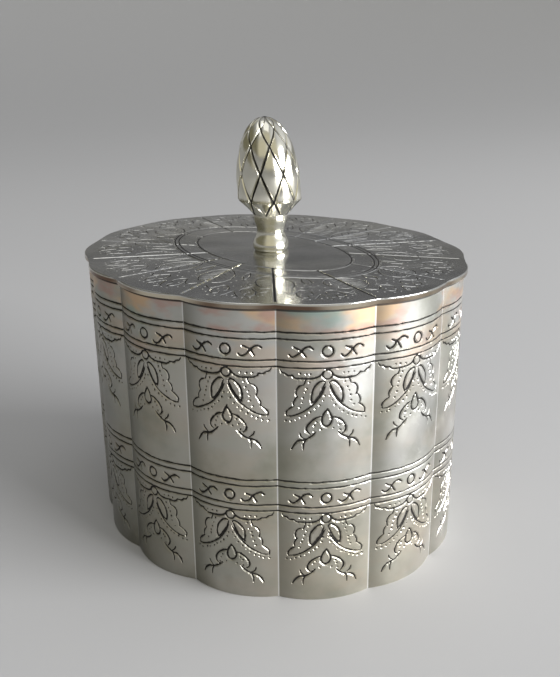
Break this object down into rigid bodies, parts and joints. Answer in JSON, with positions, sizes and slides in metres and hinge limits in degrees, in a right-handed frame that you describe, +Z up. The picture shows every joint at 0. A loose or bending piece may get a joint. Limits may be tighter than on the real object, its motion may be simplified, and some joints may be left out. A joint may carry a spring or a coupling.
{
  "type": "trinket box",
  "caption": "Lobed oval metal box with a flat lift-off lid, engraved bands and an acorn finial.",
  "frame": {"origin": "centre of the base, on the surface that the box stands on", "axes": "+X along the oval's long axis, +Y along its short axis, +Z up through the finial"},
  "size_m": [0.1122, 0.097, 0.1115],
  "materials": {
    "silver_wall": "silver plate on brass, polished, tarnished in the lines and hollows",
    "silver_lid": "silver plate on brass, mirror polished, engraved",
    "silver_finial": "silver plate on cast brass, bright polished",
    "bare_brass": "plain turned brass"
  },
  "bodies": {
    "root": {"body_wall": "silver_wall", "base_plate": "silver_wall", "lid_plate": "silver_lid", "lid_flange": "silver_lid", "finial": "silver_finial", "finial_washer": "bare_brass", "finial_nut": "bare_brass"}
  },
  "joints": []
}
